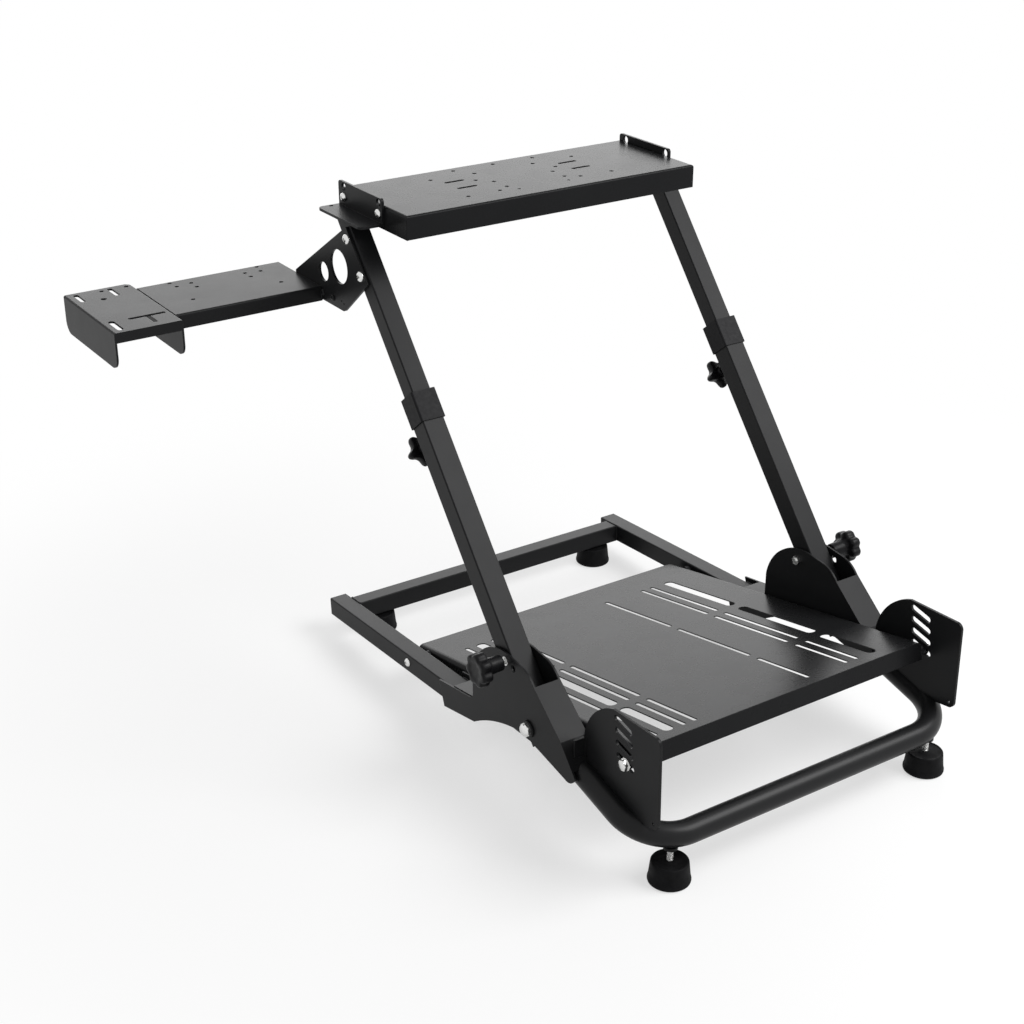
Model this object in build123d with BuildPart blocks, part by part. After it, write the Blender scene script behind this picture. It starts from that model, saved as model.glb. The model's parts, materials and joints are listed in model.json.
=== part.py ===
from build123d import *
import os
from math import atan, cos, degrees, radians, sin, tan

# Racing wheel stand: a floor frame, two telescoping legs that fold rearwards, a wheel
# deck, a tilted pedal pan and a shifter arm. Millimetres, floor at z = 0, +Z up, +X to
# the pan's right as photographed, +Y to the driver. Positions called y run rearwards
# from the front tube's axis, positions called x outwards from the middle plane.
os.makedirs("parts", exist_ok=True)

# Stock and fits
outer_size = 35.0        # lower square tube of a leg
inner_size = 30.0        # upper square tube of a leg, rails and rear crossbar
collar_size = 40.0
wall = 1.5
sheet = 3.0
leg_play = 1.5           # each side between a leg and its bracket
pin_gap = 0.05           # radial, round a pin or screw
back_off = 0.3           # a slackened screw's end short of the tube it clamps

# Legs
leg_x = 277.5
lean = 39.75             # from the vertical, towards the driver
pivot_y = 243.72
pivot_z = 130.63
heel = 25.5              # lower tube below the pivot
collar_start = 455.8
collar_length = 44.9
inner_start = 305.5
pivot_r = 5.0
screw_r = 4.0

# Deck
deck_half = leg_x - inner_size / 2 - 5.5
deck_z = 760.0
deck_lead = 124.8        # from the leg's top forward to the deck's front edge
deck_depth = 191.1
deck_flange = 35.0
deck_sheet = 2.0
seat_z = deck_z - 25.0   # top of the deck bracket's level leg
seat_lead = 62.0
seat_length = 129.0
seat_sheet = 4.0
seat_top = deck_z + 11.0

# Shifter arm
gusset_sheet = 4.0
arm_drop = 148.0         # from the deck's top down to the arm's top
arm_setback = 67.9       # from the leg's top back to the arm's front edge
arm_depth = 147.1
arm_flange = 22.5
end_outer = 637.0
end_inner = 532.5
end_setback = 42.8
end_depth = 197.9
end_flange = 56.0
end_corner = 18.0
bend = 3.0               # outer radius of the folded edges

# Floor frame
rail_rear = 841.3
rail_top = 61.3          # at the rear end
rail_rise = 3.58         # degrees, upwards to the front
rail_front = 404.0
cross_y = 809.3
foot_height = 33.0
foot_r = 29.75
foot_top_r = 26.25
rear_foot_x = 220.7
front_foot_x = 235.5
front_foot_y = 4.0
stud_r = 4.0
tube_r = 17.5
tube_z = 70.0
tube_rise = degrees(atan(0.24))
tube_bend = 70.0
tube_end = 174.0         # along the sloping plane of the tube

# Pedal pan and its brackets
pan_rear = 621.5
pan_rear_z = 66.7
pan_tilt = 11.745
pan_length = 581.3
pan_depth = 28.0
pan_sheet = 1.5
pan_bend = 8.5
plate_sheet = 4.0

# Knobs
knob_r = 25.0
fold_knob_x = 332.0
lock_along = 98.5
lock_ahead = 6.0
height_knob_along = 430.5
height_knob_off = 22.5   # its grip's base behind the leg's rear face

slot_of_leg = outer_size / 2 + leg_play
cheek_in = leg_x - slot_of_leg
cheek_out = leg_x + slot_of_leg
pan_half = cheek_in - sheet - 1.0
tube_x = cheek_in + tube_r
plate_x = tube_x - 7.5
knob_reach = fold_knob_x + 28.0
mid_x = (end_outer - knob_reach) / 2
gusset_x = leg_x + inner_size / 2
lean_s = sin(radians(lean))
lean_c = cos(radians(lean))
inner_cut = (seat_z - seat_sheet - pivot_z) / lean_c
collar_top = collar_start + collar_length
leg_top_y = pivot_y + inner_cut * lean_s
deck_front = leg_top_y - deck_lead
deck_rear = deck_front + deck_depth
seat_front = leg_top_y - seat_lead
seat_rear = seat_front + seat_length
arm_z = deck_z - arm_drop
arm_front = leg_top_y + arm_setback
arm_rear = arm_front + arm_depth
end_front = leg_top_y + end_setback
end_rear = end_front + end_depth
datum_y = -(end_rear - (foot_r - front_foot_y)) / 2


def side(x):
    # Upright plane across the stand, u = y and v = z.
    return Plane(origin=(mid_x + x, datum_y, 0), x_dir=(0, 1, 0), z_dir=(1, 0, 0))


def level(z):
    return Plane(origin=(mid_x, datum_y, z))


def leg_side(x):
    # u runs up the leg from the pivot, v to its front and upper face.
    origin = (mid_x + x, datum_y + pivot_y, pivot_z)
    return Plane(origin=origin, x_dir=(0, lean_s, lean_c), z_dir=(1, 0, 0))


def leg_cut(s):
    # Square to the leg at s above the pivot, u = x and v to its rear and lower face.
    origin = (mid_x, datum_y + pivot_y + s * lean_s, pivot_z + s * lean_c)
    return Plane(origin=origin, x_dir=(1, 0, 0), z_dir=(0, lean_s, lean_c))


def leg_back(s, o):
    # Parallel to the leg's rear face, o off its axis: u = x, normal to the rear.
    origin = (
        mid_x,
        datum_y + pivot_y + s * lean_s + o * lean_c,
        pivot_z + s * lean_c - o * lean_s,
    )
    return Plane(origin=origin, x_dir=(1, 0, 0), z_dir=(0, lean_c, -lean_s))


def keep(piece, label):
    piece.label = label
    export_step(piece, "parts/" + label + ".step")


def square_tube(size):
    RectangleRounded(size, size, 2.0)
    Rectangle(size - 2 * wall, size - 2 * wall, mode=Mode.SUBTRACT)


def outer_tube(hand):
    with BuildPart() as tube:
        with BuildSketch(leg_cut(-heel)):
            with Locations((hand * leg_x, 0)):
                square_tube(outer_size)
        extrude(amount=heel + collar_top - 3.0)
        with BuildSketch(leg_side(hand * leg_x)):
            Circle(pivot_r + pin_gap)
        extrude(amount=outer_size, both=True, mode=Mode.SUBTRACT)
        with BuildSketch(leg_back(height_knob_along, 0)):
            with Locations((hand * leg_x, 0)):
                Circle(screw_r + 2 * pin_gap)
        extrude(amount=outer_size, mode=Mode.SUBTRACT)
    return tube.part


def inner_tube(hand):
    with BuildPart() as tube:
        with BuildSketch(leg_cut(inner_start)):
            with Locations((hand * leg_x, 0)):
                square_tube(inner_size)
        extrude(amount=inner_cut + inner_size - inner_start)
        with BuildSketch(level(seat_z - seat_sheet)):
            with Locations((hand * leg_x, deck_rear)):
                Rectangle(2 * inner_size, 8 * inner_size)
        extrude(amount=3 * inner_size, mode=Mode.SUBTRACT)
    return tube.part


def collar(hand):
    bore = inner_size + 1.0
    with BuildPart() as sleeve:
        with BuildSketch(leg_cut(collar_start)):
            with Locations((hand * leg_x, 0)):
                RectangleRounded(collar_size, collar_size, 3.0)
                RectangleRounded(outer_size, outer_size, 2.0, mode=Mode.SUBTRACT)
        extrude(amount=collar_length - 3.0)
        with BuildSketch(leg_cut(collar_top - 3.0)):
            with Locations((hand * leg_x, 0)):
                RectangleRounded(collar_size, collar_size, 3.0)
                Rectangle(bore, bore, mode=Mode.SUBTRACT)
        extrude(amount=3.0)
    return sleeve.part


def star(radius, turn):
    # Outline of a five-lobed grip.
    Circle(0.72 * radius)
    with PolarLocations(0.66 * radius, 5, turn):
        Circle(0.34 * radius)


def fold_knob(hand):
    tip = leg_x + outer_size / 2 + back_off
    with BuildPart() as knob:
        with BuildSketch(side(hand * fold_knob_x)):
            with Locations(lock_point()):
                star(knob_r, 0)
        extrude(amount=hand * 18.0)
        fillet(knob.edges().group_by(Axis.X)[-1 if hand > 0 else 0], 2.5)
        with BuildSketch(side(hand * (fold_knob_x + 18.0))):
            with Locations(lock_point()):
                Circle(11.0)
        extrude(amount=hand * 10.0, taper=12)
        with BuildSketch(side(hand * (cheek_out + sheet + 8.0))):
            with Locations(lock_point()):
                Circle(10.0)
        extrude(amount=hand * (fold_knob_x - cheek_out - sheet - 8.0))
        with BuildSketch(side(hand * tip)):
            with Locations(lock_point()):
                Circle(screw_r)
        extrude(amount=hand * (fold_knob_x - tip))
    return knob.part


def lock_point():
    return (
        pivot_y + lock_along * lean_s - lock_ahead * lean_c,
        pivot_z + lock_along * lean_c + lock_ahead * lean_s,
    )


def height_knob(hand):
    tip = inner_size / 2 + back_off
    with BuildPart() as knob:
        with BuildSketch(leg_back(height_knob_along, outer_size / 2 + height_knob_off)):
            with Locations((hand * leg_x, 0)):
                star(knob_r - 3.0, 23)
        extrude(amount=15.0)
        with BuildSketch(leg_back(height_knob_along, outer_size / 2 + height_knob_off)):
            with Locations((hand * leg_x, 0)):
                Circle(9.0)
        extrude(amount=-8.0)
        with BuildSketch(leg_back(height_knob_along, tip)):
            with Locations((hand * leg_x, 0)):
                Circle(screw_r)
        extrude(amount=outer_size / 2 + height_knob_off - tip)
    return knob.part


def cheek_face():
    # Outline of a bracket cheek, u = y and v = z.
    with BuildLine() as outline:
        Polyline((484, 88), (470, 49), (386, 66))
        ThreePointArc((386, 66), (339, 92.4), (283, 111))
        Polyline((283, 111), (240, 112), (157, 96.5))
        ThreePointArc((157, 96.5), (139.5, 99.5), (133.5, 109))
        Polyline((133.5, 109), (167, 149), (233, 202))
        ThreePointArc((233, 202), (247, 214), (264, 219.5))
        Line((264, 219.5), (296, 222.5))
        ThreePointArc((296, 222.5), (361, 200.5), (389, 150))
        Line((389, 150), (389, 116))
        ThreePointArc((389, 116), (391.5, 106.5), (399, 102))
        Line((399, 102), (484, 88))
    return make_face(outline.edges())


def hinge_bracket(hand):
    with BuildPart() as bracket:
        with BuildSketch(side(hand * cheek_in)):
            with BuildLine():
                Polyline(
                    (233, 202), (167, 149), (140, 116.6), (143.9, 116.6), (169.5, 147.2),
                    (235, 199.6), (233, 202),
                )
            make_face()
        extrude(amount=hand * 2 * slot_of_leg)
        add(bent_bar(tube_r), mode=Mode.SUBTRACT)
        for x in (cheek_in - sheet, cheek_out):
            with BuildSketch(side(hand * x)):
                add(cheek_face())
            extrude(amount=hand * sheet)
        with BuildSketch(side(hand * cheek_in)):
            with BuildLine():
                Polyline((396, 104), (446, 95.5), (446, 92.5), (396, 101), (396, 104))
            make_face()
        extrude(amount=hand * 2 * slot_of_leg)
        for x in (cheek_in, leg_x + inner_size / 2):
            with BuildSketch(side(hand * x)):
                with Locations(Location((436, 73.5), -rail_rise)):
                    Rectangle(50, 18)
            extrude(amount=hand * (slot_of_leg - inner_size / 2))
        with BuildSketch(side(hand * leg_x)):
            with Locations((pivot_y, pivot_z)):
                Circle(pivot_r + pin_gap)
        extrude(amount=2 * outer_size, both=True, mode=Mode.SUBTRACT)
        with BuildSketch(side(hand * cheek_out)):
            with Locations(lock_point()):
                Circle(screw_r + 2 * pin_gap)
            with Locations((283, 207)):
                Circle(5.5)
        extrude(amount=hand * 2 * sheet, mode=Mode.SUBTRACT)
        with BuildSketch(side(hand * cheek_in)):
            with Locations((320, 202)):
                Circle(screw_r + pin_gap)
        extrude(amount=-hand * 2 * sheet, mode=Mode.SUBTRACT)
    return bracket.part


def pivot_bolt(hand):
    with BuildPart() as bolt:
        with BuildSketch(side(hand * (cheek_in - sheet))):
            with Locations((pivot_y, pivot_z)):
                Circle(pivot_r)
        extrude(amount=hand * (2 * slot_of_leg + 2 * sheet + 1.0))
        with BuildSketch(side(hand * (cheek_out + sheet))):
            with Locations((pivot_y, pivot_z)):
                Circle(12.5)
        extrude(amount=hand * 2.5)
        with BuildSketch(side(hand * (cheek_out + sheet + 2.5))):
            with Locations((pivot_y, pivot_z)):
                RegularPolygon(11.0, 6)
        extrude(amount=hand * 10.0)
    return bolt.part


def lock_stop(hand):
    with BuildPart() as stop:
        with BuildSketch(side(hand * cheek_in)):
            with Locations((320, 202)):
                Circle(screw_r)
        extrude(amount=-hand * (sheet + 7.0))
        with BuildSketch(side(hand * (cheek_in - sheet))):
            with Locations((320, 202)):
                RegularPolygon(7.5, 6)
        extrude(amount=-hand * 5.0)
    return stop.part


def rail_plane(y):
    # Square to a rail, u = x and v up, zero on the rails' axis.
    z = rail_top + (rail_rear - y) * tan(radians(rail_rise))
    drop = inner_size / 2
    tilt = radians(rail_rise)
    origin = (mid_x, datum_y + y - drop * sin(tilt), z - drop * cos(tilt))
    return Plane(origin=origin, x_dir=(1, 0, 0), z_dir=(0, -cos(tilt), sin(tilt)))


def side_rail(hand):
    with BuildPart() as rail:
        with BuildSketch(rail_plane(rail_rear)):
            with Locations((hand * leg_x, 0)):
                square_tube(inner_size)
        extrude(amount=(rail_rear - rail_front) / cos(radians(rail_rise)))
    return rail.part


def rail_cap(hand):
    plug = inner_size - 2 * wall
    with BuildPart() as cap:
        with BuildSketch(rail_plane(rail_rear)):
            with Locations((hand * leg_x, 0)):
                RectangleRounded(inner_size, inner_size, 2.0)
        extrude(amount=-2.5)
        fillet(cap.edges().group_by(Axis.Y)[-1], 1.0)
        with BuildSketch(rail_plane(rail_rear)):
            with Locations((hand * leg_x, 0)):
                Rectangle(plug, plug)
        extrude(amount=14.0)
    return cap.part


def cross_centre():
    z = rail_top + (rail_rear - cross_y) * tan(radians(rail_rise))
    return z - inner_size / 2 / cos(radians(rail_rise))


def rear_crossbar():
    length = 2 * (leg_x - inner_size / 2)
    with BuildPart() as bar:
        with BuildSketch(side(-length / 2)):
            with Locations(Location((cross_y, cross_centre()), -rail_rise)):
                square_tube(inner_size)
        extrude(amount=length)
        with BuildSketch(level(0)):
            with Locations((-rear_foot_x, cross_y), (rear_foot_x, cross_y)):
                Circle(stud_r + pin_gap)
        extrude(amount=cross_centre(), mode=Mode.SUBTRACT)
    return bar.part


def tube_plane():
    tilt = radians(tube_rise)
    origin = (mid_x, datum_y, tube_z)
    return Plane(origin=origin, x_dir=(1, 0, 0), z_dir=(0, -sin(tilt), cos(tilt)))


def bent_bar(radius):
    # Solid bar along the front tube's axis.
    reach = tube_x - tube_bend
    with BuildPart() as bar:
        with BuildLine(tube_plane()) as path:
            Line((-tube_x, tube_end), (-tube_x, tube_bend))
            RadiusArc((-tube_x, tube_bend), (-reach, 0), -tube_bend)
            Line((-reach, 0), (reach, 0))
            RadiusArc((reach, 0), (tube_x, tube_bend), -tube_bend)
            Line((tube_x, tube_bend), (tube_x, tube_end))
        with BuildSketch(Plane(origin=path.line @ 0, z_dir=path.line % 0)):
            Circle(radius)
        sweep()
    return bar.part


def front_tube():
    with BuildPart() as tube:
        add(bent_bar(tube_r))
        add(bent_bar(tube_r - wall), mode=Mode.SUBTRACT)
        with BuildSketch(level(0)):
            with Locations(
                (-front_foot_x, front_foot_y), (front_foot_x, front_foot_y)
            ):
                Circle(stud_r + pin_gap)
        extrude(amount=tube_z, mode=Mode.SUBTRACT)
    return tube.part


def foot(x, y):
    with BuildPart() as pad:
        with BuildSketch(level(4.0)):
            with Locations((x, y)):
                Circle(foot_r)
        with BuildSketch(level(foot_height - 1.0)):
            with Locations((x, y)):
                Circle(foot_top_r)
        loft()
        with BuildSketch(level(0)):
            with Locations((x, y)):
                Circle(foot_r)
        extrude(amount=4.0)
        fillet(pad.edges().group_by(Axis.Z)[0], 2.0)
        with BuildSketch(level(10.0)):
            with Locations((x, y)):
                Circle(stud_r + pin_gap)
        extrude(amount=foot_height, mode=Mode.SUBTRACT)
    return pad.part


def foot_stud(x, y, top):
    with BuildPart() as stud:
        with BuildSketch(level(10.0)):
            with Locations((x, y)):
                Circle(stud_r)
        extrude(amount=top - 10.0)
    return stud.part


def plate_face():
    # Outline of a pedal bracket, u = y and v = z.
    with BuildLine() as outline:
        Line((92, 232.1), (2, 236.5))
        ThreePointArc((2, 236.5), (-5.5, 233.7), (-8.5, 226))
        Line((-8.5, 226), (-11, 109))
        ThreePointArc((-11, 109), (-7.5, 101), (0, 98))
        Polyline((0, 98), (30, 93), (154, 121), (154, 157))
        ThreePointArc((154, 157), (132, 205), (92, 232.1))
    return make_face(outline.edges())


def pedal_bracket(hand):
    with BuildPart() as plate:
        with BuildSketch(side(hand * (plate_x - plate_sheet / 2))):
            add(plate_face())
            for row in range(4):
                with Locations(Location((69.3 - 2.47 * row, 219.1 - 17.87 * row), 12)):
                    SlotOverall(39, 10, mode=Mode.SUBTRACT)
            with Locations((-1, 106)):
                Circle(2.5, mode=Mode.SUBTRACT)
        extrude(amount=hand * plate_sheet)
        with BuildSketch(side(hand * (plate_x + plate_sheet / 2))):
            with BuildLine():
                Polyline((154, 121), (150, 120), (150, 157), (154, 157), (154, 121))
            make_face()
        extrude(amount=hand * 18.0)
        add(bent_bar(tube_r), mode=Mode.SUBTRACT)
        with BuildSketch(side(hand * cheek_in)):
            with BuildLine():
                Polyline(
                    (233, 202), (167, 149), (133.5, 109), (133.5, 90), (233, 90), (233, 202)
                )
            make_face()
        extrude(amount=hand * 2 * slot_of_leg, mode=Mode.SUBTRACT)
    return plate.part


def pan_plane():
    # u = x, v towards the driver along the pan, normal up, zero at its rear top edge.
    tilt = radians(pan_tilt)
    origin = (mid_x, datum_y + pan_rear, pan_rear_z)
    return Plane(origin=origin, x_dir=(1, 0, 0), z_dir=(0, sin(tilt), cos(tilt)))


def pan_point(y):
    return (y - pan_rear) / cos(radians(pan_tilt))


def pan_block(inset, bend, end_bend):
    # A block with bent edges, inset from the pan's outside.
    across = pan_plane()
    origin = across.from_local_coords((0, -inset, 0))
    with BuildPart(mode=Mode.PRIVATE) as block:
        with BuildSketch(Plane(origin=origin, x_dir=(1, 0, 0), z_dir=-across.y_dir)):
            with Locations((0, -pan_depth / 2 - inset / 2)):
                Rectangle(2 * (pan_half - inset), pan_depth - inset)
        extrude(amount=pan_length - 2 * inset)
        level_edges = block.edges().filter_by(Axis(origin, across.y_dir))
        fillet(level_edges.sort_by(Axis(origin, across.z_dir))[2:], bend)
    return block.part


def pedal_pan():
    rows = ((73, 180), (197, 363), (380, 549))
    thin = (57.5, 130.5, 150, -144, -163, -211)
    wide = (182, -187)
    plane = pan_plane()
    with BuildPart() as pan:
        add(pan_block(0, pan_bend, 4))
        add(pan_block(pan_sheet, pan_bend - pan_sheet, 2), mode=Mode.SUBTRACT)
        with BuildSketch(plane):
            for front, rear in rows:
                near = pan_point(front)
                far = pan_point(rear)
                for x in thin:
                    with Locations(Location((x, (near + far) / 2), 90)):
                        SlotOverall(far - near, 6.5)
                for x in wide:
                    with Locations(Location((x, (near + far) / 2), 90)):
                        SlotOverall(far - near, 16)
        extrude(amount=-pan_depth / 2, mode=Mode.SUBTRACT)
    return pan.part


def spacer(hand, y, z, stop):
    with BuildPart() as ring:
        with BuildSketch(side(hand * pan_half)):
            with Locations((y, z)):
                Circle(8.0)
                Circle(screw_r + pin_gap, mode=Mode.SUBTRACT)
        extrude(amount=hand * (stop - pan_half))
    return ring.part


def deck_plate():
    # Hole places are x and the distance behind the front edge.
    centre = (deck_front + deck_rear) / 2
    holes = (
        (129, 40.5), (129, 146.8), (72.7, 42.8), (72.7, 109.5), (72.7, 173.5), (53.5, 88.5),
        (53.5, 143.5), (52.2, 55.5),
    )
    with BuildPart() as deck:
        with BuildSketch(level(deck_z)):
            with Locations((0, centre)):
                Rectangle(2 * deck_half, deck_depth)
        extrude(amount=-deck_flange)
        fillet(deck.edges().group_by(Axis.Z)[-1], 3.5)
        offset(amount=-deck_sheet, openings=deck.faces().sort_by(Axis.Z)[0])
        with BuildSketch(level(deck_z)):
            for x, back in holes:
                with Locations((x, deck_front + back), (-x, deck_front + back)):
                    Circle(3.25)
            with Locations((44.5, deck_front + 33.8), (-44.5, deck_front + 33.8)):
                Circle(2.25)
            with Locations((0, deck_rear - 16.9)):
                Circle(3.25)
            for back in (84.8, 121.5):
                with Locations((103, deck_front + back), (-103, deck_front + back)):
                    SlotOverall(34, 6.5)
        extrude(amount=-2 * deck_sheet, mode=Mode.SUBTRACT)
    return deck.part


def deck_bracket(hand):
    middle = (seat_front + seat_rear) / 2
    reach = leg_x + collar_size / 2 - deck_half
    with BuildPart() as seat:
        with BuildSketch(side(hand * deck_half)):
            with Locations((middle, (seat_z - seat_sheet + seat_top) / 2)):
                Rectangle(seat_length, seat_top - seat_z + seat_sheet)
        extrude(amount=hand * seat_sheet)
        fillet(seat.edges().filter_by(Axis.X).group_by(Axis.Z)[-1], 5.0)
        with BuildSketch(level(seat_z - seat_sheet)):
            with Locations((hand * (deck_half + reach / 2), middle)):
                Rectangle(reach, seat_length)
        extrude(amount=seat_sheet)
        outer = seat.edges().filter_by(Axis.Z).group_by(Axis.X)[-1 if hand > 0 else 0]
        fillet(outer, 8.0)
        with BuildSketch(side(hand * deck_half)):
            for y in (seat_front + 10.0, seat_rear - 16.0):
                with Locations((y, deck_z + 3.0)):
                    Circle(6.25)
                with Locations((y, deck_z - 12.0)):
                    Circle(4.1)
        extrude(amount=hand * seat_sheet, mode=Mode.SUBTRACT)
        with BuildSketch(level(seat_z - seat_sheet)):
            with Locations((hand * leg_x, seat_rear - 6.0)):
                Circle(3.25)
        extrude(amount=seat_sheet, mode=Mode.SUBTRACT)
    return seat.part


def gusset_plate():
    # u runs up the leg from its cut top, v to its front.
    across = leg_side(-gusset_x)
    origin = across.from_local_coords((inner_cut, 0, 0))
    with BuildPart() as plate:
        with BuildSketch(Plane(origin=origin, x_dir=across.x_dir, z_dir=across.z_dir)) as face:
            with BuildLine():
                Polyline(
                    (-15.4, 9), (8.9, -190.5), (-9.4, -206), (-108.4, -87), (-108.4, 9),
                    (-15.4, 9),
                )
            make_face()
            fillet(face.vertices().group_by(Axis.X)[0].sort_by(Axis.Y)[0], 12.0)
            with Locations((-30.4, 0), (-90.4, 0)):
                Circle(4.1, mode=Mode.SUBTRACT)
            with Locations((-49.9, -53.5)):
                Circle(26, mode=Mode.SUBTRACT)
            with Locations((-34, -104.7)):
                Circle(15, mode=Mode.SUBTRACT)
            with Locations((-56.8, -129.7), (-77.1, -105.3)):
                Circle(2.6, mode=Mode.SUBTRACT)
            with Locations((-92.6, -82.7), (-99.2, -79.7)):
                Circle(1.6, mode=Mode.SUBTRACT)
        extrude(amount=-gusset_sheet)
    return plate.part


def shifter_arm():
    # Hole places are x and the share of the arm's depth from its front edge.
    start = gusset_x + gusset_sheet
    middle = (arm_front + arm_rear) / 2
    holes = (
        (-482.3, 0.949), (-336.5, 0.949), (-479.5, 0.806), (-454, 0.835), (-454.1, 0.692),
        (-483, 0.347), (-365, 0.827), (-364.8, 0.689), (-340.1, 0.804), (-337.9, 0.356),
    )
    with BuildPart() as arm:
        with BuildSketch(side(-start)):
            with Locations((middle, arm_z - arm_flange / 2)):
                Rectangle(arm_depth, arm_flange)
            with Locations((middle, arm_z - sheet - arm_flange / 2)):
                Rectangle(arm_depth - 2 * sheet, arm_flange, mode=Mode.SUBTRACT)
        extrude(amount=-(end_inner - start))
        fillet(arm.edges().filter_by(Axis.X).group_by(Axis.Z)[-1], bend)
        with BuildSketch(level(arm_z)):
            for x, share in holes:
                with Locations((x, arm_front + share * arm_depth)):
                    Circle(3.25)
        extrude(amount=-sheet, mode=Mode.SUBTRACT)
    return arm.part


def end_bracket():
    middle = (end_front + end_rear) / 2
    width = end_outer - end_inner
    centre = (end_outer + end_inner) / 2
    with BuildPart() as tray:
        with BuildSketch(level(arm_z)):
            with Locations((-centre, middle)):
                Rectangle(width, end_depth)
        extrude(amount=-sheet)
        for x in (-end_outer, -end_inner - sheet):
            with BuildSketch(side(x)):
                with Locations((middle, arm_z - end_flange / 2)):
                    Rectangle(end_depth, end_flange)
            extrude(amount=sheet)
        fillet(tray.edges().filter_by(Axis.X).group_by(Axis.Z)[0], end_corner)
        with BuildSketch(level(arm_z)):
            with Locations((-centre, end_front + sheet / 2)):
                Rectangle(width, sheet)
        extrude(amount=-15.5)
        fillet(tray.edges().filter_by(Axis.Y).group_by(Axis.Z)[-1], bend)
        with BuildSketch(level(arm_z)):
            with Locations((2.5 - centre, end_front + 185.3), (42 - centre, end_front + 186.2)):
                Circle(3.6)
            with Locations((-8.1 - centre, end_front + 149.4)):
                Circle(4.5)
            with Locations(Location((-37.3 - centre, end_front + 171.7), 90)):
                SlotOverall(36, 7.5)
            with Locations(Location((16.3 - centre, end_front + 172.6), 90)):
                SlotOverall(36, 7.5)
            with Locations(Location((-37.6 - centre, end_front + 30.2), 90)):
                SlotOverall(42, 9)
            with Locations((16.5 - centre, end_front + 46.5)):
                SlotOverall(57, 7)
            with Locations(Location((17 - centre, end_front + 32), 90)):
                SlotOverall(36, 7)
        extrude(amount=-sheet, mode=Mode.SUBTRACT)
        with BuildSketch(level(arm_z)):
            with BuildLine():
                Polyline(
                    (-end_inner, end_rear - 8), (-end_inner - 8, end_rear),
                    (-end_inner, end_rear), (-end_inner, end_rear - 8),
                )
            make_face()
        extrude(amount=-end_flange, mode=Mode.SUBTRACT)
    return tray.part


for hand, name in ((-1, "left"), (1, "right")):
    keep(outer_tube(hand), name + "_outer_tube")
    keep(inner_tube(hand), name + "_inner_tube")
    keep(collar(hand), name + "_collar")
    keep(fold_knob(hand), name + "_fold_knob")
    keep(height_knob(hand), name + "_height_knob")
    keep(hinge_bracket(hand), name + "_hinge_bracket")
    keep(pivot_bolt(hand), name + "_pivot_bolt")
    keep(lock_stop(hand), name + "_lock_stop")
    keep(side_rail(hand), name + "_side_rail")
    keep(rail_cap(hand), name + "_rail_cap")
    keep(pedal_bracket(hand), name + "_pedal_bracket")
    keep(deck_bracket(hand), name + "_deck_bracket")
    keep(foot(hand * front_foot_x, front_foot_y), name + "_front_foot")
    keep(foot(hand * rear_foot_x, cross_y), name + "_rear_foot")
    keep(foot_stud(hand * front_foot_x, front_foot_y, tube_z - 6), name + "_front_stud")
    keep(foot_stud(hand * rear_foot_x, cross_y, cross_centre()), name + "_rear_stud")
    keep(spacer(hand, 60, 164.5, plate_x - plate_sheet / 2), name + "_front_spacer")
    keep(spacer(hand, 588, 64.3, leg_x - inner_size / 2), name + "_rear_spacer")

keep(rear_crossbar(), "rear_crossbar")
keep(front_tube(), "front_tube")
keep(pedal_pan(), "pedal_pan")
keep(deck_plate(), "deck_plate")
keep(gusset_plate(), "gusset_plate")
keep(shifter_arm(), "shifter_arm")
keep(end_bracket(), "end_bracket")
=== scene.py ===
import json
import math

import bmesh
import bpy
from mathutils import Matrix, Vector


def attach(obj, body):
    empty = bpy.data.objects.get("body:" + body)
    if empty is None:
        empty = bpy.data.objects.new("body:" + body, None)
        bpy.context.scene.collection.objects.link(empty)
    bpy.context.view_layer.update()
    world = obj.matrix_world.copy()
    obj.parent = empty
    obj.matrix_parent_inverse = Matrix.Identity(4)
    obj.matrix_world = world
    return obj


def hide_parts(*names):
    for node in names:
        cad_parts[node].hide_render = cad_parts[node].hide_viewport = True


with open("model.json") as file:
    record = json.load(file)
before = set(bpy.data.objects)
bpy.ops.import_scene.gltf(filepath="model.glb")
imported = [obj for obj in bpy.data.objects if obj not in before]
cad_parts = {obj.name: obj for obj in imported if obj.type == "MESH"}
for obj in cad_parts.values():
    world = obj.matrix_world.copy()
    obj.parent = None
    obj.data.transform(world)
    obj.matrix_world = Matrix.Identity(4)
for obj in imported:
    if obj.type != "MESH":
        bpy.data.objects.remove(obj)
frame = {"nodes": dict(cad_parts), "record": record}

bl_info = {
    "name": "Racing Wheel Stand",
    "version": (1, 0, 0),
    "blender": (4, 5, 0),
    "location": "View3D > Sidebar > Wheel Stand",
    "description": "Finishes and small parts of a folding stand for a racing wheel and pedals",
    "category": "Object",
}

ORIGIN = Vector((0, 0, 0))
ACROSS = Vector((1, 0, 0))
UP = Vector((0, 0, 1))
# A round ring may start anywhere, so long as this isn't the ring's own direction.
ANY_WAY = Vector((0.3, 0.2, 0.9))

# The legs' lean, and the directions up a leg and out of its rear face.
LEAN = math.radians(39.75)
UP_LEG = Vector((0, math.sin(LEAN), math.cos(LEAN)))
BACK_OF_LEG = Vector((0, math.cos(LEAN), -math.sin(LEAN)))

# Millimetres beside the middle plane, behind the front tube's axis and above the floor.
PIVOT_Y = 243.72
PIVOT_Z = 130.63
LEG_X = 277.5
LEG_CUT_Z = 731
FRONT_TUBE_Z = 70.0
CHEEK_FACE = 299.5  # outer face of a hinge bracket
GUSSET_FACE = 296.5  # outer face of the gusset
FOLD_GRIP_X = 332
RAIL_FALL = 0.0626  # of a side rail, for each millimetre to the rear

# The upper leg's cut top: up the leg from the pivot, and behind the front tube's axis.
LEG_TOP = (LEG_CUT_Z - PIVOT_Z) / math.cos(LEAN)
LEG_TOP_Y = PIVOT_Y + LEG_TOP * math.sin(LEAN)

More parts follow.
